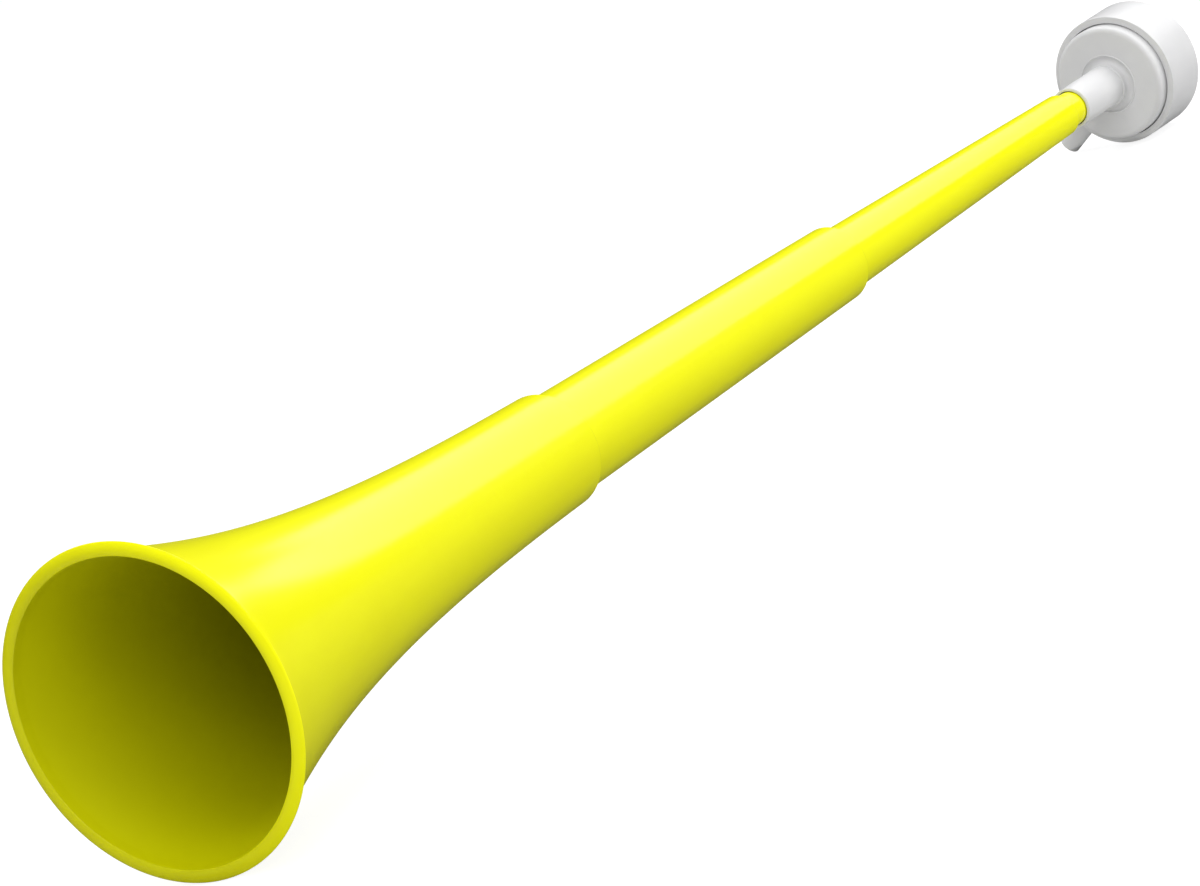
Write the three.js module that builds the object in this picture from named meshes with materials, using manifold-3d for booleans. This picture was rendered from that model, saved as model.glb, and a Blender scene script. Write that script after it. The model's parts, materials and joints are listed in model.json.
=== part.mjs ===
// A telescopic stadium horn with a membrane sound head, lying on a table.
// Three tapered plastic tubes draw out of one another and lock by their tapers. The head on the
// thin end is blown from the side: breath fills the chamber behind a film that is stretched over
// the end of the sounding pipe, and the film lets it out into the pipe in pulses.

import * as THREE from "three";
import { mergeVertices } from "three/addons/utils/BufferGeometryUtils.js";
import Module from "manifold-3d";

// Everything is in millimetres. "Along" is the place on the horn's own axis, from the plane of
// the bell's rim towards the head, and all tubes are turned about that axis.

// Facets and steps
const facetsRound = 48;
const facetsBlowTube = 24;
const stepsFlare = 14;
const stepsRound = 4;
const stepsFillet = 20;

// Fits
const slideClearance = 0.3;
const seatGap = 0.3;
const cutOverrun = 2;

// Bell section
const rimDiameter = 110;
const beadThickness = 4.4;
const beadFlat = 0.8;
const beadStartHeading = -1.79;
const beadFillet = 1;
const flareDiameter = 103.4;
const flareLength = 87.3;
const flarePower = 1.1;
const flareSpacingShare = 1.6;
const bellLength = 229;
const bellEndDiameter = 40.2;
const bellWall = 1.6;

// Telescopic tubes: the seat is the land inside a tube's end that holds the next tube, and the
// collar is the thicker hidden end of the next tube, which stops against that land
const tubeWall = 1.3;
const tubeEndRound = 0.8;
const seatLength = 10;
const seatLead = 1.2;
const collarLength = 14;
const collarRound = 0.5;

// Middle section
const middleSeatDiameter = 35.7;
const middleEndDiameter = 28;
const middleReach = 191.5;

// Narrow section
const narrowSeatDiameter = 23.7;
const narrowEndDiameter = 16.1;
const narrowReach = 174;
const spigotRootDiameter = 13.5;
const spigotEndDiameter = 12.2;
const spigotLength = 23.5;
const spigotBare = 8.5;
const airwayDiameter = 10;
const airwayLead = 5;

// Stem and front plate, one moulding with the sounding pipe
const stemDiameter = 15.8;
const stemLength = 30.9;
const stemEdge = 0.35;
const stemFit = 0.35;
const footDiameter = 16.7;
const footLength = 3.2;
const footEdge = 0.3;
const footRound = 1.5;
const grooveDiameter = 21.8;
const grooveDepth = 0.5;
const grooveSlope = 0.4;
const plateDiameter = 44.1;
const plateRound = 2;
const plateWall = 2.2;
const plateProud = 5.4;
const skirtWall = 1.8;
const skirtDepth = 4;
const pipeDiameter = 14.6;

// Drum housing with its blow tube
const housingDiameter = 50;
const housingLength = 21.6;
const housingEdge = 0.3;
const plateFit = 0.4;
const ledgeDiameter = 41.6;
const ledgeLength = 11;
const blowTubeDiameter = 8.2;
const blowTubeBore = 5.2;
const blowTubeReach = 41.5;
const blowTubeEdge = 0.5;

// Film and the ring that holds it
const filmThickness = 0.4;
const ringDepth = 4.6;
const ringMouthDiameter = 35;
const ringThroatDiameter = 30;
const ringLip = 1;
const ringEdge = 0.4;

// Places along the axis
const bellEnd = bellLength;
const middleEnd = bellEnd + middleReach;
const narrowEnd = middleEnd + narrowReach;
const spigotEnd = narrowEnd + spigotLength;
const stemMouth = narrowEnd + spigotBare;
const plateFace = stemMouth + stemLength;
const housingFront = plateFace + plateProud;
const housingBack = housingFront + housingLength;
const skirtEnd = housingFront + skirtDepth;
const ledgeFront = skirtEnd + seatGap;
const ledgeBack = ledgeFront + ledgeLength;
const filmFront = ledgeBack + seatGap;
const filmBack = filmFront + filmThickness;
const ringFront = filmBack + seatGap;
const ringBack = ringFront + ringDepth;
const blowTubePlace = (housingFront + housingBack) / 2;

// Radius of a straight taper at any place along the axis
function taper(fromAlong, fromDiameter, toAlong, toDiameter) {
  const slope = (toDiameter - fromDiameter) / 2 / (toAlong - fromAlong);
  return (along) => fromDiameter / 2 + slope * (along - fromAlong);
}

// The bell flares as a falling exponential that sets out a little straighter, from the back of
// the rim's bead
function bellOutside(along) {
  const fallAt = (place) => Math.exp(-Math.pow((place - beadThickness) / flareLength, flarePower));
  const endFall = fallAt(bellEnd);
  const share = (fallAt(along) - endFall) / (1 - endFall);
  return bellEndDiameter / 2 + ((flareDiameter - bellEndDiameter) / 2) * share;
}

const bellInside = (along) => bellOutside(along) - bellWall;
const middleOutside = taper(bellEnd, middleSeatDiameter, middleEnd, middleEndDiameter);
const middleInside = (along) => middleOutside(along) - tubeWall;
const narrowOutside = taper(middleEnd, narrowSeatDiameter, narrowEnd, narrowEndDiameter);
const narrowInside = (along) => narrowOutside(along) - tubeWall;
const spigotOutside = taper(narrowEnd, spigotRootDiameter, spigotEnd, spigotEndDiameter);
const stemInside = (along) => spigotOutside(along) + stemFit;

// Points of a quarter round, as [radius, along], between two headings in quarter turns
function quarterRound(radius, along, size, fromQuarter, toQuarter) {
  const points = [];
  for (let i = 0; i <= stepsRound; i++) {
    const share = i / stepsRound;
    const angle = ((fromQuarter + (toQuarter - fromQuarter) * share) * Math.PI) / 2;
    points.push([radius + size * Math.cos(angle), along + size * Math.sin(angle)]);
  }
  return points;
}

// A body turned about the +Y axis from an outline of [radius, along] points, with the middle of
// a facet facing straight down
function turned(outline, facets) {
  const points = outline.map(([radius, along]) => new THREE.Vector2(radius, along));
  if (outline[0][0] > 0) points.push(points[0].clone());
  return new THREE.LatheGeometry(points, facets, Math.PI / facets, 2 * Math.PI);
}

function named(name, geometry, material) {
  const mesh = new THREE.Mesh(geometry, material);
  mesh.name = name;
  return mesh;
}

// Joining and cutting of closed bodies
const manifold = await Module();
manifold.setup();

function solidOf(geometry) {
  const bare = geometry.clone();
  bare.deleteAttribute("normal");
  bare.deleteAttribute("uv");
  const merged = mergeVertices(bare);
  const corners = merged.index.array;
  const kept = [];
  for (let i = 0; i < corners.length; i += 3) {
    const [a, b, c] = corners.slice(i, i + 3);
    if (a !== b && b !== c && c !== a) kept.push(a, b, c);
  }
  const mesh = new manifold.Mesh({
    numProp: 3,
    vertProperties: merged.attributes.position.array,
    triVerts: new Uint32Array(kept),
  });
  return new manifold.Manifold(mesh);
}

function geometryOf(solid) {
  const { vertProperties, triVerts } = solid.getMesh();
  const geometry = new THREE.BufferGeometry();
  geometry.setAttribute("position", new THREE.BufferAttribute(vertProperties, 3));
  geometry.setIndex(new THREE.BufferAttribute(triVerts, 1));
  geometry.computeVertexNormals();
  return geometry;
}

// Materials
const yellowPlastic = new THREE.MeshStandardMaterial({ color: 0xf7f50c, roughness: 0.28, metalness: 0 });
const whitePlastic = new THREE.MeshStandardMaterial({ color: 0xe9e9e9, roughness: 0.32, metalness: 0 });
const clearFilm = new THREE.MeshStandardMaterial({ color: 0xdfe3e6, roughness: 0.25, metalness: 0 });

// The land inside a tube's end, from its back face to its lead-in, then on to the plain bore
function seatOutline(end, nextOutside, inside) {
  const front = end - seatLength;
  const bore = (along) => nextOutside(along) + slideClearance;
  return [
    [bore(end), end],
    [bore(front), front],
    [inside(front - seatLead), front - seatLead],
  ];
}

// The collar at a tube's hidden end, from the end's bore, round its outside, to the shoulder that
// stops against the seat of the tube around it
function collarOutline(holderEnd, holderInside, outside, inside) {
  const stop = holderEnd - seatLength - seatLead;
  const shoulder = stop - seatGap;
  const end = shoulder - collarLength;
  const radius = holderInside(stop) - slideClearance;
  return [
    [inside(end), end],
    ...quarterRound(radius - collarRound, end + collarRound, collarRound, -1, 0),
    [radius, shoulder],
    [outside(shoulder + seatLead), shoulder + seatLead],
  ];
}

// Middle of the small fillet that leads from the rim's bead to the flare, as [radius, along]
function filletMiddle() {
  const bead = beadThickness / 2;
  let along = beadThickness;
  let radius = 0;
  for (let i = 0; i < stepsFillet; i++) {
    radius = bellOutside(along) + beadFillet;
    along = bead + Math.sqrt((bead + beadFillet) ** 2 - (rimDiameter / 2 - bead - radius) ** 2);
  }
  return [radius, along];
}

// Bell section: rounded rim, flared wall and the seat for the middle section
function bellSection() {
  const bead = beadThickness / 2;
  const beadRadius = rimDiameter / 2 - bead;
  const flat = beadFlat / 2;
  const frontRound = bead - flat;
  const [filletRadius, filletAlong] = filletMiddle();
  const touch = Math.atan2(filletAlong - bead, filletRadius - beadRadius) / (Math.PI / 2);
  const seatFront = bellEnd - seatLength - seatLead;
  const flareStations = [];
  for (let i = 0; i <= stepsFlare; i++) {
    const share = Math.pow(i / stepsFlare, flareSpacingShare);
    flareStations.push(filletAlong + (seatFront - filletAlong) * share);
  }
  const outline = [
    ...quarterRound(beadRadius - flat, frontRound, frontRound, beadStartHeading, -1),
    ...quarterRound(beadRadius + flat, frontRound, frontRound, -1, 0),
    ...quarterRound(beadRadius, bead, bead, 0, touch),
    ...quarterRound(filletRadius, filletAlong, beadFillet, touch - 2, -2).slice(1),
    ...flareStations.slice(1).map((along) => [bellOutside(along), along]),
    ...quarterRound(bellOutside(bellEnd) - tubeEndRound, bellEnd - tubeEndRound, tubeEndRound, 0, 1),
    ...seatOutline(bellEnd, middleOutside, bellInside),
    ...flareStations.slice(0, -1).reverse().map((along) => [bellInside(along), along]),
  ];
  return named("bell_section", turned(outline, facetsRound), yellowPlastic);
}

// Middle section: collar, long taper and the seat for the narrow section
function middleSection() {
  const outline = [
    ...collarOutline(bellEnd, bellInside, middleOutside, middleInside),
    ...quarterRound(middleOutside(middleEnd) - tubeEndRound, middleEnd - tubeEndRound, tubeEndRound, 0, 1),
    ...seatOutline(middleEnd, narrowOutside, middleInside),
  ];
  return named("middle_section", turned(outline, facetsRound), yellowPlastic);
}

// Narrow section: collar, long taper, rounded shoulder and the tapered spigot for the head
function narrowSection() {
  const airway = airwayDiameter / 2;
  const outline = [
    ...collarOutline(middleEnd, middleInside, narrowOutside, narrowInside),
    ...quarterRound(narrowOutside(narrowEnd) - tubeEndRound, narrowEnd - tubeEndRound, tubeEndRound, 0, 1),
    [spigotOutside(narrowEnd), narrowEnd],
    [spigotOutside(spigotEnd - stemEdge), spigotEnd - stemEdge],
    [spigotOutside(spigotEnd) - stemEdge, spigotEnd],
    [airway, spigotEnd],
    [airway, narrowEnd],
    [narrowInside(narrowEnd - airwayLead), narrowEnd - airwayLead],
  ];
  return named("narrow_section", turned(outline, facetsRound), yellowPlastic);
}

// Front plate with its stem outside and the sounding pipe inside, in one moulding
function stemPlate() {
  const stem = stemDiameter / 2;
  const foot = footDiameter / 2;
  const plate = plateDiameter / 2;
  const airway = airwayDiameter / 2;
  const grooveFloor = plateFace + grooveDepth;
  const plateInside = plateFace + plateWall + grooveDepth;
  const stemShoulder = spigotEnd + seatGap;
  const outline = [
    [stemInside(stemMouth), stemMouth],
    [stem - stemEdge, stemMouth],
    [stem, stemMouth + stemEdge],
    [stem, grooveFloor - footLength],
    [foot, grooveFloor - footLength + footEdge],
    ...quarterRound(foot + footRound, grooveFloor - footRound, footRound, 2, 1),
    [grooveDiameter / 2 - grooveSlope, grooveFloor],
    [grooveDiameter / 2, plateFace],
    ...quarterRound(plate - plateRound, plateFace + plateRound, plateRound, -1, 0),
    [plate, skirtEnd],
    [plate - skirtWall, skirtEnd],
    [plate - skirtWall, plateInside],
    [pipeDiameter / 2, plateInside],
    [pipeDiameter / 2, ledgeBack],
    [airway, ledgeBack],
    [airway, stemShoulder],
    [stemInside(stemShoulder), stemShoulder],
  ];
  return named("stem_plate", turned(outline, facetsRound), whitePlastic);
}

// The horn lies on the rim's bead and on the housing's back edge, so its axis falls to the head
const restSlope = Math.atan((rimDiameter - housingDiameter) / 2 / (housingBack - beadThickness / 2));

// The blow tube leans over until the edge of its end touches the table
const tableDepth = housingDiameter / 2 + Math.tan(restSlope) * (housingBack - blowTubePlace);
const blowTubeEndReach = Math.hypot(blowTubeReach, blowTubeDiameter / 2);
const blowTubeLean =
  Math.atan(blowTubeDiameter / 2 / blowTubeReach) + Math.acos(tableDepth / blowTubeEndReach);

// Turns a body that stands up the axis so that it points out from the axis as the blow tube does
function towardsBlowTube(geometry) {
  geometry.rotateX(-Math.PI / 2);
  geometry.rotateY(blowTubeLean);
  geometry.translate(0, blowTubePlace, 0);
  return geometry;
}

// Housing: a stepped ring that holds the plate in front and the film behind, with the blow tube
function drumHousing() {
  const outer = housingDiameter / 2;
  const ledge = ledgeDiameter / 2;
  const pocket = plateDiameter / 2 + plateFit;
  const tube = blowTubeDiameter / 2;
  const ring = [
    [ledge, ledgeFront],
    [pocket, ledgeFront],
    [pocket, housingFront],
    ...quarterRound(outer - housingEdge, housingFront + housingEdge, housingEdge, -1, 0),
    ...quarterRound(outer - housingEdge, housingBack - housingEdge, housingEdge, 0, 1),
    [pocket, housingBack],
    [pocket, ledgeBack],
    [ledge, ledgeBack],
  ];
  const rod = [
    [0, (ledge + outer) / 2],
    [tube, (ledge + outer) / 2],
    ...quarterRound(tube - blowTubeEdge, blowTubeReach - blowTubeEdge, blowTubeEdge, 0, 1),
    [0, blowTubeReach],
  ];
  const bore = [
    [0, ledge - cutOverrun],
    [blowTubeBore / 2, ledge - cutOverrun],
    [blowTubeBore / 2, blowTubeReach + cutOverrun],
    [0, blowTubeReach + cutOverrun],
  ];
  const solid = solidOf(turned(ring, facetsRound))
    .add(solidOf(towardsBlowTube(turned(rod, facetsBlowTube))))
    .subtract(solidOf(towardsBlowTube(turned(bore, facetsBlowTube))));
  return named("drum_housing", geometryOf(solid), whitePlastic);
}

// Film: a thin disc across the housing, close to the mouth of the sounding pipe
function membrane() {
  const radius = plateDiameter / 2 + plateFit - slideClearance;
  const outline = [
    [0, filmFront],
    [radius, filmFront],
    [radius, filmBack],
    [0, filmBack],
  ];
  return named("membrane", turned(outline, facetsRound), clearFilm);
}

// Clamp ring: presses the film's edge on the ledge, and opens like a shallow funnel behind it
function clampRing() {
  const outer = plateDiameter / 2 + plateFit - slideClearance;
  const outline = [
    [ringThroatDiameter / 2, ringFront],
    [outer, ringFront],
    [outer, ringBack - ringEdge],
    [outer - ringEdge, ringBack],
    [ringMouthDiameter / 2, ringBack],
    [ringThroatDiameter / 2, ringFront + ringLip],
  ];
  return named("clamp_ring", turned(outline, facetsRound), whitePlastic);
}

// The sound head is pushed on the spigot as one, and turns on it
const soundHead = new THREE.Group();
soundHead.add(stemPlate(), drumHousing(), membrane(), clampRing());

// The horn drawn out to its full length, along +Y from the bell to the head
const horn = new THREE.Group();
horn.add(bellSection(), middleSection(), narrowSection(), soundHead);

// Laid on the table, with the middle of its footprint at the origin
horn.rotation.x = -restSlope;
const bounds = new THREE.Box3().setFromObject(horn, true);
const centre = bounds.getCenter(new THREE.Vector3());
horn.position.set(-centre.x, -centre.y, -bounds.min.z);

const part = new THREE.Group();
part.add(horn);

export default part;
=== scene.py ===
# Telescopic stadium horn lying on a pale table: three yellow tubes that draw out of one
# another, and a white membrane sound head with its blow tube on the side.
# Sizes of pieces are in millimetres, and turn into metres as a mesh is made from them.
# Materials and the studio are in metres.

import json
import math

import bmesh
import bpy
from mathutils import Euler, Matrix, Vector


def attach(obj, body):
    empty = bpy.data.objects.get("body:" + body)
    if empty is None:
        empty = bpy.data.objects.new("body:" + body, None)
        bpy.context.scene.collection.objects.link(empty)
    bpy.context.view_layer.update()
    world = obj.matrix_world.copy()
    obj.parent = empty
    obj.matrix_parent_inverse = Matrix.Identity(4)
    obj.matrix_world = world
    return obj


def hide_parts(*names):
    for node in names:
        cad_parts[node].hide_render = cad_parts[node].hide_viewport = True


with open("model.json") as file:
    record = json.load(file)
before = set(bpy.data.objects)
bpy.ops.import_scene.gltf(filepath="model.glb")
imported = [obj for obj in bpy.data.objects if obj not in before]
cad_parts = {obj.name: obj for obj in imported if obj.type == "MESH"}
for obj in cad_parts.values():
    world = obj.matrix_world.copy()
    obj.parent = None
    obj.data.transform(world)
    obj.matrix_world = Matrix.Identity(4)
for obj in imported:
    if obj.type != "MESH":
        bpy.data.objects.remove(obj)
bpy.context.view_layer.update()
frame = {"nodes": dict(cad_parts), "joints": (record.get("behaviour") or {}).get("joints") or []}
print("frame: loaded", len(frame["nodes"]), "CAD nodes")

mm = 0.001

# Where the horn lies, and how finely it is turned
horn = {
    "turnJoint": "head_turn",  # its axis is the horn's own axis
    "turnPlace": 603.0,  # from the plane of the bell's rim to that joint's anchor
    "facets": 192,
    "roundSteps": 10,
    "runStep": 9.0,  # longest straight run between two rings
    "sharpDegrees": 32,
    "mergeWithin": 1e-7,  # in metres
}

# Clearances between the pieces
fits = {
    "slide": 0.3,
    "seat": 0.3,
    "overrun": 2.0,  # of a cutting body past what it cuts
}

# What the three tubes have in common
tubes = {
    "wall": 1.3,
    "endRound": 0.8,
    "seatLength": 10.0,
    "seatLead": 1.2,
    "collarLength": 14.0,
    "collarRound": 0.5,
}


# The horn's own space: X to its side, Y straight down from it, Z along its axis to the head
def hornSpace():
    joint = next(j for j in frame["joints"] if j["name"] == horn["turnJoint"])
    axis = Vector(joint["axis"]).normalized()
    side = Vector((1, 0, 0))
    space = Matrix((side, axis.cross(side), axis)).transposed().to_4x4()
    space.translation = Vector(joint["pos_m"]) - axis * horn["turnPlace"] * mm
    return space


hornMatrix = hornSpace()


# A socket that can be used in sums
class Wire:
    def __init__(self, graph, socket):
        self.graph = graph
        self.socket = socket

    def __add__(self, other):
        return self.graph.maths("ADD", self, other)

    def __radd__(self, other):
        return self.graph.maths("ADD", other, self)

    def __sub__(self, other):
        return self.graph.maths("SUBTRACT", self, other)

    def __rsub__(self, other):
        return self.graph.maths("SUBTRACT", other, self)

    def __mul__(self, other):
        return self.graph.maths("MULTIPLY", self, other)

    def __rmul__(self, other):
        return self.graph.maths("MULTIPLY", other, self)

    def __truediv__(self, other):
        return self.graph.maths("DIVIDE", self, other)

    def __rtruediv__(self, other):
        return self.graph.maths("DIVIDE", other, self)

    def __pow__(self, other):
        return self.graph.maths("POWER", self, other)

    def __rpow__(self, other):
        return self.graph.maths("POWER", other, self)


# A node tree, shader or geometry, that is written as expressions
class Graph:
    def __init__(self, tree):
        self.tree = tree

    @staticmethod
    def find(sockets, key):
        if isinstance(key, int):
            return sockets[key]
        return next(s for s in sockets if s.enabled and s.name == key)

    def node(self, kind, settings=None, sockets=None):
        made = self.tree.nodes.new(kind)
        for name, value in (settings or {}).items():
            if name == "stops":
                elements = made.color_ramp.elements
                while len(elements) < len(value):
                    elements.new(1.0)
                for element, (position, colour) in zip(elements, value):
                    element.position = position
                    element.color = colour
            else:
                setattr(made, name, value)
        for name, value in (sockets or {}).items():
            socket = self.find(made.inputs, name)
            for one in value if isinstance(value, list) else [value]:
                if isinstance(one, Wire):
                    self.tree.links.new(one.socket, socket)
                else:
                    socket.default_value = one
        return {s.name: Wire(self, s) for s in made.outputs if s.enabled}

    def maths(self, operation, *values):
        sockets = dict(enumerate(values))
        return self.node("ShaderNodeMath", {"operation": operation}, sockets)["Value"]

    def smooth(self, value, low, high):  # 0 below low, 1 above high
        return self.node(
            "ShaderNodeMapRange",
            {"interpolation_type": "SMOOTHSTEP"},
            {"Value": value, "From Min": low, "From Max": high},
        )["Result"]

    def colour(self, mask, first, second, blend="MIX"):
        return self.node(
            "ShaderNodeMix",
            {"data_type": "RGBA", "blend_type": blend},
            {"Factor": mask, "A": first, "B": second},
        )["Result"]

    def noise(self, coordinates, stretch, detail=2.0, roughness=0.5):
        place = self.node(
            "ShaderNodeVectorMath",
            {"operation": "MULTIPLY"},
            {0: coordinates, 1: stretch},
        )["Vector"]
        return self.node(
            "ShaderNodeTexNoise",
            {"noise_dimensions": "3D"},
            {"Vector": place, "Scale": 1.0, "Detail": detail, "Roughness": roughness},
        )["Fac"]


def startMaterial(name):
    material = bpy.data.materials.new(name)
    material.use_nodes = True
    material.node_tree.nodes.clear()
    graph = Graph(material.node_tree)
    material.cycles.emission_sampling = "NONE"  # the rim's painted light isn't a lamp
    here = graph.node("ShaderNodeTexCoord")["Object"]
    place = graph.node(
        "ShaderNodeMapping",
        {"vector_type": "TEXTURE"},
        {
            "Vector": here,
            "Location": hornMatrix.translation,
            "Rotation": hornMatrix.to_euler(),
        },
    )["Vector"]
    return material, graph, place


def endMaterial(graph, sockets):
    surface = graph.node("ShaderNodeBsdfPrincipled", None, sockets)["BSDF"]
    graph.node("ShaderNodeOutputMaterial", None, {"Surface": surface})


def bumpOf(graph, height, strength, distance=0.0001):
    return graph.node(
        "ShaderNodeBump", None, {"Height": height, "Strength": strength, "Distance": distance}
    )["Normal"]


# Moulded plastics. Patterns are laid in the horn's own space, so they run along the tubes.
# Their stretches are per metre: across, down and along.
yellow = {
    "colour": (0.93, 0.925, 0.002, 1),
    "deepColour": (0.90, 0.88, 0.0015, 1),  # where the pigment is a touch denser
    "paintedInnerShade": (0.69, 0.69, 0.0, 1),  # painted shade inside, just behind the rim
    "paintedThroatShade": (0.548, 0.543, 0.0, 1),  # deeper painted shade inside, in the depth of the bell
    "throatShadeStart": 0.002,
    "throatShadeEnd": 0.040,
    "paintedLipLight": (0.18, 0.18, 0.0, 1),  # painted light: a glow on the lit side of the thin rim
    "paintedLightSide": (0.95, -0.30),  # across and down, the side that the light falls on
    "paintedLightEdges": (-0.5, 0.9),  # from none to full, as a cosine from that side
    "paintedLightStart": 0.002,
    "paintedLightEnd": 0.005,
    "clouds": (16, 16, 16),
    "streaks": (110, 110, 5),
    "streakShare": 0.4,
    "denser": (0.35, 0.7),
    "hairs": (1500, 1500, 14),
    "hairEdges": (0.58, 0.74),
    "rubbed": (30, 30, 9),
    "rubbedEdges": (0.45, 0.75),
    "slideStart": 0.225,  # the bell itself isn't rubbed
    "slideFull": 0.260,
    "grain": (420, 420, 420),
    "roughness": 0.20,
    "scuffRoughness": 0.10,
    "innerRoughness": 0.12,
    "peel": 0.05,
    "scuffDepth": 0.02,
    "bump": 0.6,
    "ior": 1.49,
}


def makeYellow():
    material, graph, place = startMaterial("yellowMoulding")
    split = graph.node("ShaderNodeSeparateXYZ", None, {0: place})
    along = split["Z"]
    # inner marks walls that face the air inside; the yellow gets its painted shade there
    inner = graph.node("ShaderNodeAttribute", {"attribute_name": "inner"})["Fac"]
    clouds = graph.noise(place, yellow["clouds"], detail=3.0)
    streaks = graph.noise(place, yellow["streaks"], detail=3.0)
    mixed = clouds * (1 - yellow["streakShare"]) + streaks * yellow["streakShare"]
    pigment = graph.smooth(mixed, *yellow["denser"])
    outside = graph.colour(pigment, yellow["colour"], yellow["deepColour"])
    # painted shade: the inside is painted darker from just behind the rim towards the throat
    depth = graph.smooth(along, yellow["throatShadeStart"], yellow["throatShadeEnd"])
    inside = graph.colour(depth, yellow["paintedInnerShade"], yellow["paintedThroatShade"])
    # painted light: the rim glows on the side that the light falls on
    facingLight = split["X"] * yellow["paintedLightSide"][0] + split["Y"] * yellow["paintedLightSide"][1]
    facingLight = facingLight / graph.maths("SQRT", split["X"] ** 2 + split["Y"] ** 2)
    behind = graph.smooth(along, yellow["paintedLightStart"], yellow["paintedLightEnd"])
    paintedLight = graph.smooth(facingLight, *yellow["paintedLightEdges"]) * (1 - behind)
    # hairlines that the tubes leave on each other as they slide
    hairs = graph.noise(place, yellow["hairs"], detail=4.0, roughness=0.7)
    rubbed = graph.smooth(graph.noise(place, yellow["rubbed"]), *yellow["rubbedEdges"])
    slid = graph.smooth(along, yellow["slideStart"], yellow["slideFull"])
    scuffs = graph.smooth(hairs, *yellow["hairEdges"]) * rubbed * slid
    peel = graph.noise(place, yellow["grain"], detail=1.0)
    roughness = yellow["roughness"] + scuffs * yellow["scuffRoughness"]
    roughness = roughness + inner * yellow["innerRoughness"]
    height = peel * yellow["peel"] - scuffs * yellow["scuffDepth"]
    endMaterial(
        graph,
        {
            "Base Color": graph.colour(inner, outside, inside),
            "Roughness": roughness,
            "IOR": yellow["ior"],
            "Normal": bumpOf(graph, height, yellow["bump"]),
            "Emission Color": graph.colour(paintedLight, (0, 0, 0, 1), yellow["paintedLipLight"]),
            "Emission Strength": 1.0,
        },
    )
    return material


white = {
    "colour": (0.708, 0.708, 0.713, 1),
    "deepColour": (0.682, 0.682, 0.690, 1),
    "clouds": (45, 45, 45),
    "flow": (160, 160, 60),
    "flowShare": 0.5,
    "denser": (0.35, 0.7),
    "hairs": (700, 700, 700),
    "hairEdges": (0.6, 0.75),
    "grain": (520, 520, 520),
    "roughness": 0.27,
    "cloudRoughness": 0.05,
    "hairRoughness": 0.06,
    "peel": 0.05,
    "hairDepth": 0.012,
    "bump": 0.6,
    "ior": 1.49,
}


def makeWhite():
    material, graph, place = startMaterial("whiteMoulding")
    clouds = graph.noise(place, white["clouds"], detail=3.0)
    flow = graph.noise(place, white["flow"])
    mixed = clouds * (1 - white["flowShare"]) + flow * white["flowShare"]
    pigment = graph.smooth(mixed, *white["denser"])
    hairs = graph.noise(place, white["hairs"], detail=4.0, roughness=0.7)
    hairs = graph.smooth(hairs, *white["hairEdges"])
    peel = graph.noise(place, white["grain"], detail=1.0)
    roughness = white["roughness"] + clouds * white["cloudRoughness"]
    height = peel * white["peel"] - hairs * white["hairDepth"]
    endMaterial(
        graph,
        {
            "Base Color": graph.colour(pigment, white["colour"], white["deepColour"]),
            "Roughness": roughness + hairs * white["hairRoughness"],
            "IOR": white["ior"],
            "Normal": bumpOf(graph, height, white["bump"]),
        },
    )
    return material


clearFilm = {
    "colour": (0.80, 0.83, 0.85, 1),
    "edgeColour": (0.70, 0.73, 0.75, 1),
    "clouds": (90, 90, 90),
    "creases": 37,  # round the film
    "creaseNoise": (120, 120, 120),
    "creaseSway": 9,
    "creaseStart": 0.009,  # from the axis
    "creaseFull": 0.016,
    "creaseDepth": 0.4,
    "cloudDepth": 0.2,
    "roughness": 0.16,
    "cloudRoughness": 0.1,
    "bump": 0.5,
    "ior": 1.45,
    "alpha": 0.62,
}


def makeFilm():
    material, graph, place = startMaterial("stretchedFilm")
    split = graph.node("ShaderNodeSeparateXYZ", None, {0: place})
    spread = graph.maths("SQRT", split["X"] ** 2 + split["Y"] ** 2)
    angle = graph.maths("ARCTAN2", split["Y"], split["X"])
    sway = graph.noise(place, clearFilm["creaseNoise"]) * clearFilm["creaseSway"]
    crease = graph.maths("SINE", angle * clearFilm["creases"] + sway)
    edge = graph.smooth(spread, clearFilm["creaseStart"], clearFilm["creaseFull"])
    clouds = graph.noise(place, clearFilm["clouds"], detail=3.0)
    height = crease * edge * clearFilm["creaseDepth"] + clouds * clearFilm["cloudDepth"]
    colour = graph.colour(edge * clouds, clearFilm["colour"], clearFilm["edgeColour"])
    endMaterial(
        graph,
        {
            "Base Color": colour,
            "Roughness": clearFilm["roughness"] + clouds * clearFilm["cloudRoughness"],
            "IOR": clearFilm["ior"],
            "Alpha": clearFilm["alpha"],
            "Normal": bumpOf(graph, height, clearFilm["bump"]),
        },
    )
    return material


yellowMoulding = makeYellow()
whiteMoulding = makeWhite()
stretchedFilm = makeFilm()
print("materials: made", len(bpy.data.materials))


# Radius of a straight taper at any place along the axis
def taper(fromAlong, fromDiameter, toAlong, toDiameter):
    slope = (toDiameter - fromDiameter) / 2 / (toAlong - fromAlong)
    return lambda along: fromDiameter / 2 + slope * (along - fromAlong)


# Headings are in quarter turns: 0 out from the axis, 1 to the head, 2 to the axis, -1 to the mouth.
# Outline points are (radius, along, inner), and inner is 1 on walls that face the air inside
def roundPoints(radius, along, size, fromQuarter, toQuarter, inner=0.0):
    steps = horn["roundSteps"]
    points = []
    for i in range(steps + 1):
        angle = (fromQuarter + (toQuarter - fromQuarter) * i / steps) * math.pi / 2
        points.append((radius + size * math.cos(angle), along + size * math.sin(angle), inner))
    return points


# Long straight runs get rings in between, so that the shading stays even
def evenRuns(outline, closed):
    points = []
    count = len(outline)
    for i in range(count if closed else count - 1):
        first, last = outline[i], outline[(i + 1) % count]
        cuts = max(1, math.ceil(math.dist(first[:2], last[:2]) / horn["runStep"]))
        points += [tuple(p + (q - p) * k / cuts for p, q in zip(first, last)) for k in range(cuts)]
    return points if closed else points + [outline[-1]]


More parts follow.
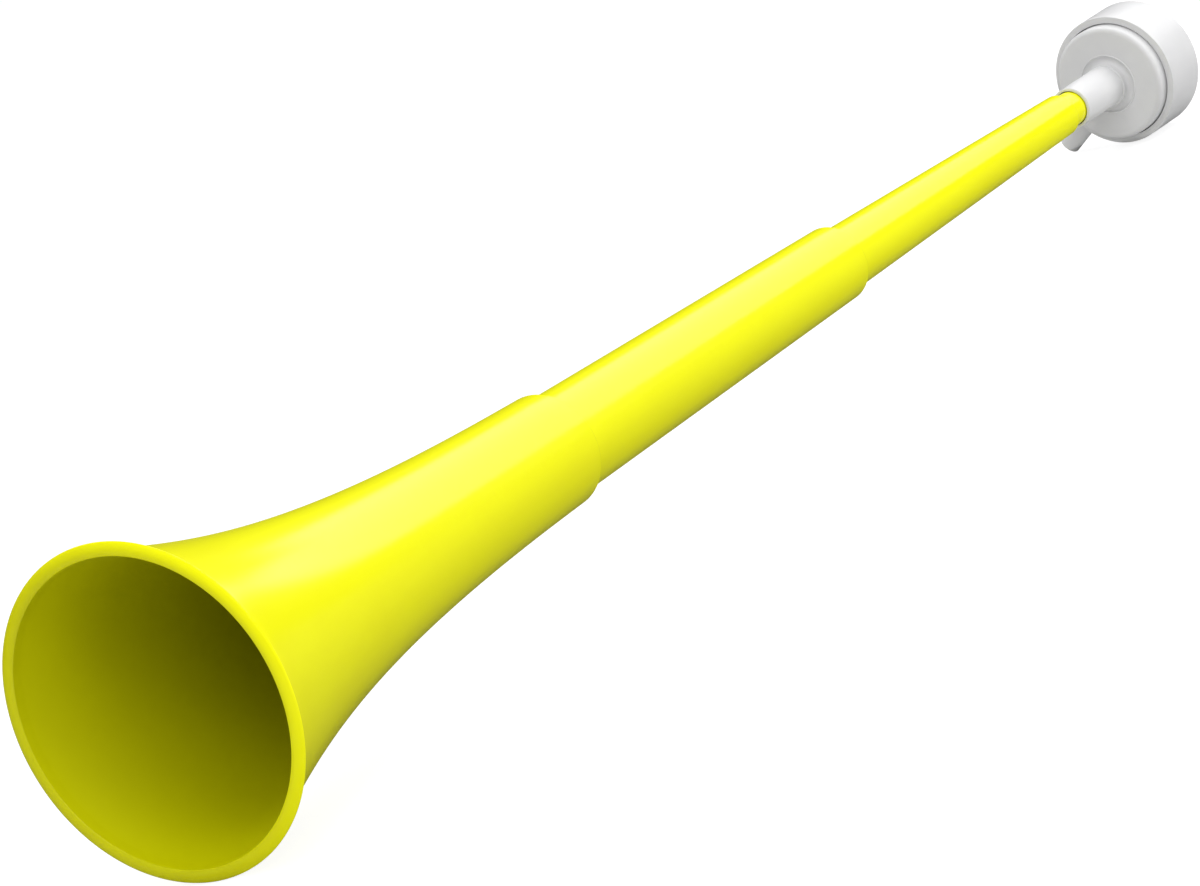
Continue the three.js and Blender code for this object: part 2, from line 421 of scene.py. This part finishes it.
# A mesh turned about Z. An outline that starts and ends on the axis is closed there by poles.
def turned(name, outline, material, facets=None):
    facets = facets or horn["facets"]
    closed = outline[0][0] > 0
    points = evenRuns(outline, closed)
    vertices, inner, rings, faces = [], [], [], []
    for radius, along, side in points:
        start = len(vertices)
        turns = facets if radius > 0 else 1
        for k in range(turns):
            angle = 2 * math.pi * k / facets
            vertices.append(
                (radius * math.cos(angle) * mm, radius * math.sin(angle) * mm, along * mm)
            )
            inner.append(side)
        rings.append([start + k % turns for k in range(facets + 1)])
    pairs = list(zip(rings, rings[1:])) + ([(rings[-1], rings[0])] if closed else [])
    for near, far in pairs:
        for k in range(facets):
            corners = dict.fromkeys((near[k], near[k + 1], far[k + 1], far[k]))
            faces.append(tuple(corners))
    mesh = bpy.data.meshes.new(name)
    mesh.from_pydata(vertices, [], faces)
    mesh.attributes.new("inner", "FLOAT", "POINT").data.foreach_set("value", inner)
    mesh.materials.append(material)
    return mesh


# Normals out, smooth faces with crisp corners, and the mesh's place applied
def tidyMesh(mesh, place=None):
    if place is not None:
        mesh.transform(place)
    shape = bmesh.new()
    shape.from_mesh(mesh)
    bmesh.ops.remove_doubles(shape, verts=shape.verts, dist=horn["mergeWithin"])
    bmesh.ops.recalc_face_normals(shape, faces=shape.faces)
    shape.to_mesh(mesh)
    shape.free()
    mesh.shade_smooth()
    mesh.set_sharp_from_angle(angle=math.radians(horn["sharpDegrees"]))
    return mesh


def standFor(name, mesh, node, body):
    piece = bpy.data.objects.new(name, mesh)
    bpy.context.scene.collection.objects.link(piece)
    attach(piece, body)
    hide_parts(node)
    print("piece:", name, len(mesh.polygons), "faces")
    return piece


# The land inside a tube's end, from its back face to its lead-in, then on to the plain bore
def seatOutline(end, nextOutside, inside):
    front = end - tubes["seatLength"]
    lead = front - tubes["seatLead"]
    return [
        (nextOutside(end) + fits["slide"], end, 1.0),
        (nextOutside(front) + fits["slide"], front, 1.0),
        (inside(lead), lead, 1.0),
    ]


# The collar at a tube's hidden end, which stops against the seat of the tube around it
def collarOutline(holderEnd, holderInside, outside, inside):
    stop = holderEnd - tubes["seatLength"] - tubes["seatLead"]
    shoulder = stop - fits["seat"]
    end = shoulder - tubes["collarLength"]
    radius = holderInside(stop) - fits["slide"]
    edge = tubes["collarRound"]
    return [
        (inside(end), end, 1.0),
        *roundPoints(radius - edge, end + edge, edge, -1, 0),
        (radius, shoulder, 0.0),
        (outside(shoulder + tubes["seatLead"]), shoulder + tubes["seatLead"], 0.0),
    ]


bell = {
    "rimDiameter": 110.0,
    "rimFront": 1.2,  # from the plane that all places are measured from
    "lipRound": 0.6,  # along the rim's outer edge
    "rimFillet": 2.0,  # behind the rim, where it runs out into the flare
    "faceDiameter": 104.6,  # where the rim's domed front stands out most
    "faceRadius": 4.2,
    "mouthDiameter": 100.9,
    "mouthRound": 0.5,
    "mouthStart": -1.9,  # in quarter turns, where the bell's inside runs into that round
    "frontInner": (0.5, -0.3),  # share of the inside's painted shade and roughness, from the mouth to the lip
    "rimSteps": 12,
    "flareStart": 4.4,
    "flareDiameter": 103.4,
    "flareLength": 87.3,
    "flarePower": 1.1,  # above 1 the flare sets out straighter from the rim
    "flareSteps": 72,
    "flareSpacing": 1.6,  # above 1 the rings crowd towards the rim
    "length": 229.0,
    "endDiameter": 40.2,
    "wall": 1.6,
    "facets": 256,
}

# Places are along the axis, from the plane in front of the bell's rim
bellEnd = bell["length"]


# The bell flares as a falling exponential, measured from just behind the rim
def bellFall(along):
    return math.exp(-(((along - bell["flareStart"]) / bell["flareLength"]) ** bell["flarePower"]))


def bellOutside(along):
    share = (bellFall(along) - bellFall(bellEnd)) / (1 - bellFall(bellEnd))
    return bell["endDiameter"] / 2 + (bell["flareDiameter"] - bell["endDiameter"]) / 2 * share


def bellInside(along):
    return bellOutside(along) - bell["wall"]


# The bell's section is laid out point by point in a node tree, then swept round the axis
def bellTree(sizes):
    tree = bpy.data.node_groups.new("flaredBell", "GeometryNodeTree")
    for label, value in sizes.items():
        whole = isinstance(value, int)
        tree.interface.new_socket(
            name=label, in_out="INPUT", socket_type="NodeSocketInt" if whole else "NodeSocketFloat"
        )
    tree.interface.new_socket(name="Bell", in_out="OUTPUT", socket_type="NodeSocketGeometry")
    graph = Graph(tree)
    size = graph.node("NodeGroupInput")
    index = graph.node("GeometryNodeInputIndex")["Index"]
    hub = size["Hub Radius"]
    runs = []
    runGap = 1000  # more than the points of any one run

    def run(count, radius, along, inner):  # a run of points of the section, in order
        position = graph.node("ShaderNodeCombineXYZ", None, {0: radius - hub, 1: 0 - along})
        points = graph.node(
            "GeometryNodePoints", None, {"Count": count, "Position": position["Vector"]}
        )["Points"]
        for label, value in (("order", index + runGap * len(runs)), ("inner", inner)):
            points = graph.node(
                "GeometryNodeStoreNamedAttribute",
                None,
                {"Geometry": points, "Name": label, "Value": value},
            )["Geometry"]
        runs.append(points)

    def arc(radius, along, edge, fromQuarter, toQuarter, fromInner, toInner, steps="Rim Steps"):
        share = index / (size[steps] - 1)
        angle = (fromQuarter + (toQuarter - fromQuarter) * share) * (math.pi / 2)
        run(
            size[steps],
            radius + edge * graph.maths("COSINE", angle),
            along + edge * graph.maths("SINE", angle),
            fromInner + (toInner - fromInner) * share,
        )

    def fall(along):
        share = (along - size["Flare Start"]) / size["Flare Length"]
        return graph.maths("EXPONENT", 0 - share ** size["Flare Power"])

    def outside(along):
        share = (fall(along) - endFall) / (1 - endFall)
        return size["End Radius"] + (size["Flare Radius"] - size["End Radius"]) * share

    endFall = fall(size["Length"])
    seatFront = size["Length"] - size["Seat Length"]
    leadFront = seatFront - size["Seat Lead"]
    front, face, tip = size["Rim Front"], size["Face Radius"], size["End Round"]
    lip, mouth, fillet = size["Lip Round"], size["Mouth Round"], size["Rim Fillet"]
    back = size["Lip Along"] + lip + fillet
    steps = size["Flare Steps"]
    down = (index / (steps - 1)) ** size["Flare Spacing"]
    up = (1 - index / (steps - 1)) ** size["Flare Spacing"]

    # rim: the mouth's round, the domed front, the lip, and the fillet behind it
    middle, faceStart, faceEnd = size["Face Middle"], size["Face Start"], size["Face End"]
    mouthStart, mouthInner, lipInner = size["Mouth Start"], size["Mouth Inner"], size["Lip Inner"]
    # the inner share fades across the domed front, spreading the painted inside shade onto the rim
    arc(size["Mouth Middle"], size["Mouth Along"], mouth, mouthStart, faceStart, 1.0, mouthInner)
    arc(middle, front + face, face, faceStart, faceEnd, mouthInner, lipInner)
    arc(size["Lip Middle"], size["Lip Along"], lip, faceEnd, 1, 0.0, 0.0)
    arc(outside(back) + fillet, back, fillet, -1, -2, 0.0, 0.0)
    # flare outside, the end with its seat, and the flare inside
    place = back + (leadFront - back) * down
    run(steps, outside(place), place, 0.0)
    arc(outside(size["Length"]) - tip, size["Length"] - tip, tip, 0, 1, 0.0, 0.0, "End Steps")
    run(1, size["Seat End Radius"], size["Length"], 1.0)
    run(1, size["Seat Front Radius"], seatFront, 1.0)
    place = back + (leadFront - back) * up
    run(steps, outside(place) - size["Wall"], place, 1.0)

    points = graph.node("GeometryNodeJoinGeometry", None, {"Geometry": runs})["Geometry"]
    order = graph.node("GeometryNodeInputNamedAttribute", None, {"Name": "order"})["Attribute"]
    section = graph.node("GeometryNodePointsToCurves", None, {"Points": points, "Weight": order})
    section = graph.node(
        "GeometryNodeSetSplineCyclic", None, {"Geometry": section["Curves"], "Cyclic": True}
    )
    path = graph.node(
        "GeometryNodeCurvePrimitiveCircle", None, {"Resolution": size["Facets"], "Radius": hub}
    )
    shell = graph.node(
        "GeometryNodeCurveToMesh",
        None,
        {"Curve": path["Curve"], "Profile Curve": section["Geometry"]},
    )
    shell = graph.node("GeometryNodeRealizeInstances", None, {"Geometry": shell["Mesh"]})
    shell = graph.node(
        "GeometryNodeSetMaterial",
        None,
        {"Geometry": shell["Geometry"], "Material": yellowMoulding},
    )
    graph.node("NodeGroupOutput", None, {"Bell": shell["Geometry"]})
    return tree


# Where a round at the side of the rim's domed front lies, and where the two meet
def besideFace(middle, edge):
    across = middle - bell["faceDiameter"] / 2
    back = math.sqrt((bell["faceRadius"] - edge) ** 2 - across**2)
    along = bell["rimFront"] + bell["faceRadius"] - back
    return along, math.atan2(-back, across) / (math.pi / 2)


def makeBell():
    seatFront = bellEnd - tubes["seatLength"]
    mouthMiddle = bell["mouthDiameter"] / 2 + bell["mouthRound"]
    lipMiddle = bell["rimDiameter"] / 2 - bell["lipRound"]
    mouthAlong, faceStart = besideFace(mouthMiddle, bell["mouthRound"])
    lipAlong, faceEnd = besideFace(lipMiddle, bell["lipRound"])
    sizes = {
        "Facets": bell["facets"],
        "Flare Steps": bell["flareSteps"],
        "Rim Steps": bell["rimSteps"],
        "End Steps": horn["roundSteps"] + 1,
        "Hub Radius": mm,
        "Rim Front": bell["rimFront"] * mm,
        "Rim Fillet": bell["rimFillet"] * mm,
        "Face Middle": bell["faceDiameter"] / 2 * mm,
        "Face Radius": bell["faceRadius"] * mm,
        "Face Start": faceStart,
        "Face End": faceEnd,
        "Lip Middle": lipMiddle * mm,
        "Lip Along": lipAlong * mm,
        "Lip Round": bell["lipRound"] * mm,
        "Mouth Middle": mouthMiddle * mm,
        "Mouth Along": mouthAlong * mm,
        "Mouth Round": bell["mouthRound"] * mm,
        "Mouth Start": bell["mouthStart"],
        "Mouth Inner": bell["frontInner"][0],
        "Lip Inner": bell["frontInner"][1],
        "Flare Start": bell["flareStart"] * mm,
        "Flare Radius": bell["flareDiameter"] / 2 * mm,
        "Flare Length": bell["flareLength"] * mm,
        "Flare Power": bell["flarePower"],
        "Flare Spacing": bell["flareSpacing"],
        "Length": bellEnd * mm,
        "End Radius": bell["endDiameter"] / 2 * mm,
        "End Round": tubes["endRound"] * mm,
        "Wall": bell["wall"] * mm,
        "Seat Length": tubes["seatLength"] * mm,
        "Seat Lead": tubes["seatLead"] * mm,
        "Seat End Radius": (middleOutside(bellEnd) + fits["slide"]) * mm,
        "Seat Front Radius": (middleOutside(seatFront) + fits["slide"]) * mm,
    }
    tree = bellTree(sizes)
    blank = bpy.data.objects.new("bellBlank", bpy.data.meshes.new("bellBlank"))
    bpy.context.scene.collection.objects.link(blank)
    modifier = blank.modifiers.new("flaredBell", "NODES")
    modifier.node_group = tree
    for item in tree.interface.items_tree:
        if item.in_out == "INPUT":
            modifier[item.identifier] = sizes[item.name]
    blank.update_tag()
    evaluated = bpy.context.evaluated_depsgraph_get()
    mesh = bpy.data.meshes.new_from_object(blank.evaluated_get(evaluated), depsgraph=evaluated)
    bpy.data.objects.remove(blank)
    mesh.name = "bellShell"
    return standFor("bellShell", tidyMesh(mesh, hornMatrix), "bell_section", "bell")


middle = {
    "seatDiameter": 35.7,  # where it leaves the bell's end
    "endDiameter": 28.0,
    "reach": 191.5,  # out of the bell's end
}

middleEnd = bellEnd + middle["reach"]
middleOutside = taper(bellEnd, middle["seatDiameter"], middleEnd, middle["endDiameter"])


def middleInside(along):
    return middleOutside(along) - tubes["wall"]


def makeMiddle():
    edge = tubes["endRound"]
    outline = [
        *collarOutline(bellEnd, bellInside, middleOutside, middleInside),
        *roundPoints(middleOutside(middleEnd) - edge, middleEnd - edge, edge, 0, 1),
        *seatOutline(middleEnd, narrowOutside, middleInside),
    ]
    mesh = tidyMesh(turned("middleShell", outline, yellowMoulding), hornMatrix)
    return standFor("middleShell", mesh, "middle_section", "middle")


narrow = {
    "seatDiameter": 23.7,  # where it leaves the middle tube's end
    "endDiameter": 16.1,
    "reach": 174.0,
    "spigotRoot": 13.5,
    "spigotTip": 12.2,
    "spigotLength": 23.5,
    "spigotBare": 8.5,  # in front of the stem
    "spigotEdge": 0.35,
    "airway": 10.0,
    "airwayLead": 5.0,
}

narrowEnd = middleEnd + narrow["reach"]
spigotEnd = narrowEnd + narrow["spigotLength"]
narrowOutside = taper(middleEnd, narrow["seatDiameter"], narrowEnd, narrow["endDiameter"])
spigotOutside = taper(narrowEnd, narrow["spigotRoot"], spigotEnd, narrow["spigotTip"])


def narrowInside(along):
    return narrowOutside(along) - tubes["wall"]


def makeNarrow():
    edge, airway, chamfer = tubes["endRound"], narrow["airway"] / 2, narrow["spigotEdge"]
    lead = narrowEnd - narrow["airwayLead"]
    outline = [
        *collarOutline(middleEnd, middleInside, narrowOutside, narrowInside),
        *roundPoints(narrowOutside(narrowEnd) - edge, narrowEnd - edge, edge, 0, 1),
        (spigotOutside(narrowEnd), narrowEnd, 0.0),
        (spigotOutside(spigotEnd - chamfer), spigotEnd - chamfer, 0.0),
        (spigotOutside(spigotEnd) - chamfer, spigotEnd, 0.0),
        (airway, spigotEnd, 1.0),
        (airway, narrowEnd, 1.0),
        (narrowInside(lead), lead, 1.0),
    ]
    mesh = tidyMesh(turned("narrowShell", outline, yellowMoulding), hornMatrix)
    return standFor("narrowShell", mesh, "narrow_section", "narrow")


stem = {
    "diameter": 15.8,
    "length": 30.9,
    "edge": 0.35,
    "fit": 0.35,  # round the spigot
    "footDiameter": 16.7,
    "footLength": 3.2,
    "footEdge": 0.3,
    "footRound": 1.5,
    "grooveDiameter": 21.8,
    "grooveDepth": 0.38,
    "grooveSlope": 0.4,
    "lipRound": 0.4,  # low ridge that runs round the groove
    "lipSunk": 0.18,
    "lipEnd": -0.3,  # in quarter turns, where the ridge runs out over the plate
    "plateDiameter": 44.1,
    "plateRound": 2.0,
    "plateWall": 2.2,
    "plateProud": 5.4,  # in front of the housing
    "skirtWall": 1.8,
    "skirtDepth": 4.0,
    "pipeDiameter": 14.6,
}

stemMouth = narrowEnd + narrow["spigotBare"]
plateFace = stemMouth + stem["length"]
housingFront = plateFace + stem["plateProud"]
skirtEnd = housingFront + stem["skirtDepth"]


def stemInside(along):
    return spigotOutside(along) + stem["fit"]


# Front plate with its stem outside and the sounding pipe inside, in one moulding
def makeStemPlate():
    outer, plate = stem["diameter"] / 2, stem["plateDiameter"] / 2
    airway, edge = narrow["airway"] / 2, stem["edge"]
    grooveFloor = plateFace + stem["grooveDepth"]
    plateInside = plateFace + stem["plateWall"] + stem["grooveDepth"]
    shoulder = spigotEnd + fits["seat"]
    foot, footRound = stem["footDiameter"] / 2, stem["footRound"]
    groove, lip, plateRound = stem["grooveDiameter"] / 2, stem["lipRound"], stem["plateRound"]
    outline = [
        (stemInside(stemMouth), stemMouth, 0.0),
        (outer - edge, stemMouth, 0.0),
        (outer, stemMouth + edge, 0.0),
        (outer, grooveFloor - stem["footLength"], 0.0),
        (foot, grooveFloor - stem["footLength"] + stem["footEdge"], 0.0),
        *roundPoints(foot + footRound, grooveFloor - footRound, footRound, 2, 1),
        (groove - stem["grooveSlope"], grooveFloor, 0.0),
        *roundPoints(groove + lip, plateFace + stem["lipSunk"], lip, -2, stem["lipEnd"]),
        *roundPoints(plate - plateRound, plateFace + plateRound, plateRound, -1, 0),
        (plate, skirtEnd, 0.0),
        (plate - stem["skirtWall"], skirtEnd, 1.0),
        (plate - stem["skirtWall"], plateInside, 1.0),
        (stem["pipeDiameter"] / 2, plateInside, 1.0),
        (stem["pipeDiameter"] / 2, ledgeBack, 1.0),
        (airway, ledgeBack, 1.0),
        (airway, shoulder, 1.0),
        (stemInside(shoulder), shoulder, 1.0),
    ]
    mesh = tidyMesh(turned("stemPlateShell", outline, whiteMoulding), hornMatrix)
    return standFor("stemPlateShell", mesh, "stem_plate", "head")


housing = {
    "diameter": 50.0,
    "length": 21.6,
    "edge": 0.3,
    "plateFit": 0.4,  # the dark ring round the plate
    "ledgeDiameter": 41.6,
    "ledgeLength": 11.0,
    "blowTube": 8.2,
    "blowBore": 5.2,
    "blowReach": 41.5,  # from the axis to its end
    "blowEdge": 0.5,
    "blowFacets": 72,
    "blowLean": 57.9597,  # degrees from straight down, towards -X
}

housingBack = housingFront + housing["length"]
ledgeFront = skirtEnd + fits["seat"]
ledgeBack = ledgeFront + housing["ledgeLength"]
blowPlace = (housingFront + housingBack) / 2


# Stands a body that is turned about Z out from the axis as the blow tube does
def blowMatrix():
    lean = math.radians(housing["blowLean"])
    out = Vector((-math.sin(lean), math.cos(lean), 0))
    turn = out.to_track_quat("Z", "Y").to_matrix().to_4x4()
    return Matrix.Translation((0, 0, blowPlace * mm)) @ turn


# One solid out of several: the first, with the others joined to it or cut from it
def combined(name, first, others):
    base = bpy.data.objects.new(name, first)
    bpy.context.scene.collection.objects.link(base)
    tools = []
    for operation, mesh in others:
        tool = bpy.data.objects.new(name + "Tool", mesh)
        bpy.context.scene.collection.objects.link(tool)
        cut = base.modifiers.new(operation.lower(), "BOOLEAN")
        cut.operation, cut.solver, cut.object = operation, "EXACT", tool
        tools.append(tool)
    evaluated = bpy.context.evaluated_depsgraph_get()
    mesh = bpy.data.meshes.new_from_object(base.evaluated_get(evaluated), depsgraph=evaluated)
    for spent in tools + [base]:
        bpy.data.objects.remove(spent)
    mesh.name = name
    return mesh


def makeHousing():
    outer, ledge = housing["diameter"] / 2, housing["ledgeDiameter"] / 2
    pocket = stem["plateDiameter"] / 2 + housing["plateFit"]
    edge, tube = housing["edge"], housing["blowTube"] / 2
    reach, lip = housing["blowReach"], housing["blowEdge"]
    ring = [
        (ledge, ledgeFront, 1.0),
        (pocket, ledgeFront, 1.0),
        (pocket, housingFront, 0.0),
        *roundPoints(outer - edge, housingFront + edge, edge, -1, 0),
        *roundPoints(outer - edge, housingBack - edge, edge, 0, 1),
        (pocket, housingBack, 0.0),
        (pocket, ledgeBack, 1.0),
        (ledge, ledgeBack, 1.0),
    ]
    rod = [
        (0, (ledge + outer) / 2, 0.0),
        (tube, (ledge + outer) / 2, 0.0),
        *roundPoints(tube - lip, reach - lip, lip, 0, 1),
        (0, reach, 0.0),
    ]
    bore = [
        (0, ledge - fits["overrun"], 1.0),
        (housing["blowBore"] / 2, ledge - fits["overrun"], 1.0),
        (housing["blowBore"] / 2, reach + fits["overrun"], 1.0),
        (0, reach + fits["overrun"], 1.0),
    ]
    facets = housing["blowFacets"]
    place = blowMatrix()
    solid = combined(
        "housingShell",
        tidyMesh(turned("housingRing", ring, whiteMoulding)),
        [
            ("UNION", tidyMesh(turned("blowRod", rod, whiteMoulding, facets), place)),
            ("DIFFERENCE", tidyMesh(turned("blowBore", bore, whiteMoulding, facets), place)),
        ],
    )
    return standFor(
        "housingShell", tidyMesh(solid, hornMatrix), "drum_housing", "head"
    )


film = {
    "thickness": 0.4,
    "rings": 40,
    "wrinkles": 0.06,  # height of the ripples
    "ripples": 23,  # round the film
    "sway": 1.7,  # makes some ripples wider than others
    "swayTurns": 5,
}

filmFront = ledgeBack + fits["seat"]
filmBack = filmFront + film["thickness"]


# The film is drawn tight, with faint ripples that run out to its clamped edge
def makeFilmDisc():
    radius = stem["plateDiameter"] / 2 + housing["plateFit"] - fits["slide"]
    free = clamp["throat"] / 2
    steps = film["rings"]
    front = [(radius * i / steps, filmFront, 0.0) for i in range(steps + 1)]
    back = [(r, filmBack, 0.0) for r, _, _ in reversed(front)]
    mesh = turned("filmDisc", front + back, stretchedFilm)
    for vertex in mesh.vertices:
        x, y = vertex.co.x / mm, vertex.co.y / mm
        share = min(1.0, math.hypot(x, y) / free)
        swell = math.sin(math.pi * share) ** 2 * film["wrinkles"]
        angle = math.atan2(y, x)
        sway = film["sway"] * math.sin(angle * film["swayTurns"])
        ripple = math.sin(angle * film["ripples"] + sway)
        vertex.co.z += (ripple * swell * share) * mm
    mesh = tidyMesh(mesh, hornMatrix)
    return standFor("filmDisc", mesh, "membrane", "head")


clamp = {"depth": 4.6, "mouth": 35.0, "throat": 30.0, "lip": 1.0, "edge": 0.4}

ringFront = filmBack + fits["seat"]
ringBack = ringFront + clamp["depth"]


def makeClampRing():
    outer = stem["plateDiameter"] / 2 + housing["plateFit"] - fits["slide"]
    throat, mouth = clamp["throat"] / 2, clamp["mouth"] / 2
    edge = clamp["edge"]
    outline = [
        (throat, ringFront, 0.0),
        (outer, ringFront, 0.0),
        *roundPoints(outer - edge, ringBack - edge, edge, 0, 1),
        *roundPoints(mouth + edge, ringBack - edge, edge, 1, 2),
        (throat, ringFront + clamp["lip"], 0.0),
    ]
    mesh = tidyMesh(turned("clampRingShell", outline, whiteMoulding), hornMatrix)
    return standFor("clampRingShell", mesh, "clamp_ring", "head")


makeBell()
makeMiddle()
makeNarrow()
makeStemPlate()
makeHousing()
makeFilmDisc()
makeClampRing()

# Table, room, lamps and camera
studio = {
    "floorDrop": 0.0003,  # as the smooth rim is 0.1 mm fuller than the CAD's facets
    "floorSize": 14.0,
    "floorColour": (0.48, 0.48, 0.48, 1),  # as it lights the horn's underside
    "glossColour": (0.10, 0.10, 0.10, 1),  # as the horn's gloss reflects it
    "seenShade": (0.25, 0.25, 0.25, 1),  # how much of the shadow the camera sees
    "seenLift": 0.88,  # added to that, which makes the table white
    "fill": 0.471,  # the room's light on the horn
    "seen": 1.0,  # the room as the camera sees it
    "gloss": 0.03,  # and as the horn's gloss reflects it
    "lamps": {
        "sideLamp": {
            "place": (0.956, 0.906, 0.412),
            "aim": (0, -0.05, 0.05),
            "size": (0.7, 0.7),
            "power": 8.2,
            "diffuse": True,
            "glossy": False,
        },
        "frontLamp": {
            "place": (0.857, -0.907, 0.75),
            "aim": (0, -0.05, 0.05),
            "size": (0.7, 0.7),
            "power": 4.5,
            "diffuse": True,
            "glossy": False,
        },
        "backLamp": {
            "place": (-0.7, 0.65, 1.04),
            "aim": (0, -0.05, 0.05),
            "size": (0.7, 0.7),
            "power": 8.5,
            "diffuse": True,
            "glossy": False,
        },
        "topLamp": {
            "place": (0.444, -0.229, 1.366),
            "aim": (0, -0.05, 0.05),
            "size": (0.7, 0.7),
            "power": 8.0,
            "diffuse": True,
            "glossy": False,
        },
        "tableBounce": {  # light that the table throws back up at the head
            "place": (-0.07, 0.33, 0.002),
            "aim": (-0.07, 0.33, 1),
            "size": (0.2, 0.2),
            "power": 0.031,
            "diffuse": True,
            "glossy": False,
        },
        "softbox": {  # long highlight on the tubes
            "place": (0.42, 1.45, 0.95),
            "aim": (0.42, 1.46, 0),
            "size": (2.06, 1.5),
            "power": 15.8,
            "diffuse": False,
            "glossy": True,
        },
        "softboxFar": {  # carries it on over the flare
            "place": (0.74, 3.15, 0.95),
            "aim": (0.74, 3.16, 0),
            "size": (2.0, 1.9),
            "power": 20.5,
            "diffuse": False,
            "glossy": True,
        },
    },
    "cameraPlace": (1.19362, -1.628779, 0.465111),
    "cameraTurn": (76.72425858, 21.45837452, 32.57861212),  # degrees
    "lens": 181.71,
    "sensor": 36.0,
}


def makeWorld():
    world = bpy.data.worlds.new("paleRoom")
    world.use_nodes = True
    world.node_tree.nodes.clear()
    graph = Graph(world.node_tree)
    path = graph.node("ShaderNodeLightPath")
    direct = path["Is Camera Ray"] + path["Is Transmission Ray"]
    level = direct * (studio["seen"] - studio["fill"]) + studio["fill"]
    level = level + path["Is Glossy Ray"] * (studio["gloss"] - studio["fill"])
    light = graph.node("ShaderNodeBackground", None, {"Color": (1, 1, 1, 1), "Strength": level})
    graph.node("ShaderNodeOutputWorld", None, {"Surface": light["Background"]})
    bpy.context.scene.world = world


def makeFloor():
    material = bpy.data.materials.new("paleTable")
    material.use_nodes = True
    material.node_tree.nodes.clear()
    graph = Graph(material.node_tree)
    path = graph.node("ShaderNodeLightPath")
    direct = path["Is Camera Ray"] + path["Is Transmission Ray"]
    lit, dim, faint = (
        graph.node("ShaderNodeBsdfDiffuse", None, {"Color": studio[name]})["BSDF"]
        for name in ("floorColour", "glossColour", "seenShade")
    )
    lift = graph.node("ShaderNodeEmission", None, {"Strength": studio["seenLift"]})["Emission"]
    seen = graph.node("ShaderNodeAddShader", None, {0: faint, 1: lift})["Shader"]
    unseen = {0: path["Is Glossy Ray"], 1: lit, 2: dim}
    unseen = graph.node("ShaderNodeMixShader", None, unseen)["Shader"]
    surface = graph.node("ShaderNodeMixShader", None, {0: direct, 1: unseen, 2: seen})["Shader"]
    graph.node("ShaderNodeOutputMaterial", None, {"Surface": surface})
    half, level = studio["floorSize"] / 2, -studio["floorDrop"]
    mesh = bpy.data.meshes.new("table")
    corners = [(-half, -half, level), (half, -half, level), (half, half, level), (-half, half, level)]
    mesh.from_pydata(corners, [], [(0, 1, 2, 3)])
    mesh.materials.append(material)
    table = bpy.data.objects.new("table", mesh)
    bpy.context.scene.collection.objects.link(table)


def makeLamp(name, place, aim, size, power, diffuse, glossy):
    data = bpy.data.lights.new(name, "AREA")
    data.shape = "RECTANGLE"
    data.size, data.size_y = size
    data.energy = power
    lamp = bpy.data.objects.new(name, data)
    lamp.location = place
    lamp.rotation_euler = (Vector(aim) - Vector(place)).to_track_quat("-Z", "Y").to_euler()
    lamp.visible_camera = False
    lamp.visible_diffuse = diffuse
    lamp.visible_glossy = glossy
    bpy.context.scene.collection.objects.link(lamp)


def makeCamera():
    data = bpy.data.cameras.new("camera")
    data.lens = studio["lens"]
    data.sensor_width = studio["sensor"]
    camera = bpy.data.objects.new("camera", data)
    camera.location = studio["cameraPlace"]
    camera.rotation_euler = Euler([math.radians(a) for a in studio["cameraTurn"]], "XYZ")
    bpy.context.scene.collection.objects.link(camera)
    bpy.context.scene.camera = camera


makeWorld()
makeFloor()
for lampName, lamp in studio["lamps"].items():
    makeLamp(lampName, **lamp)
makeCamera()
bpy.context.scene.view_settings.view_transform = "Standard"
print("studio: floor, lamps and camera in place")
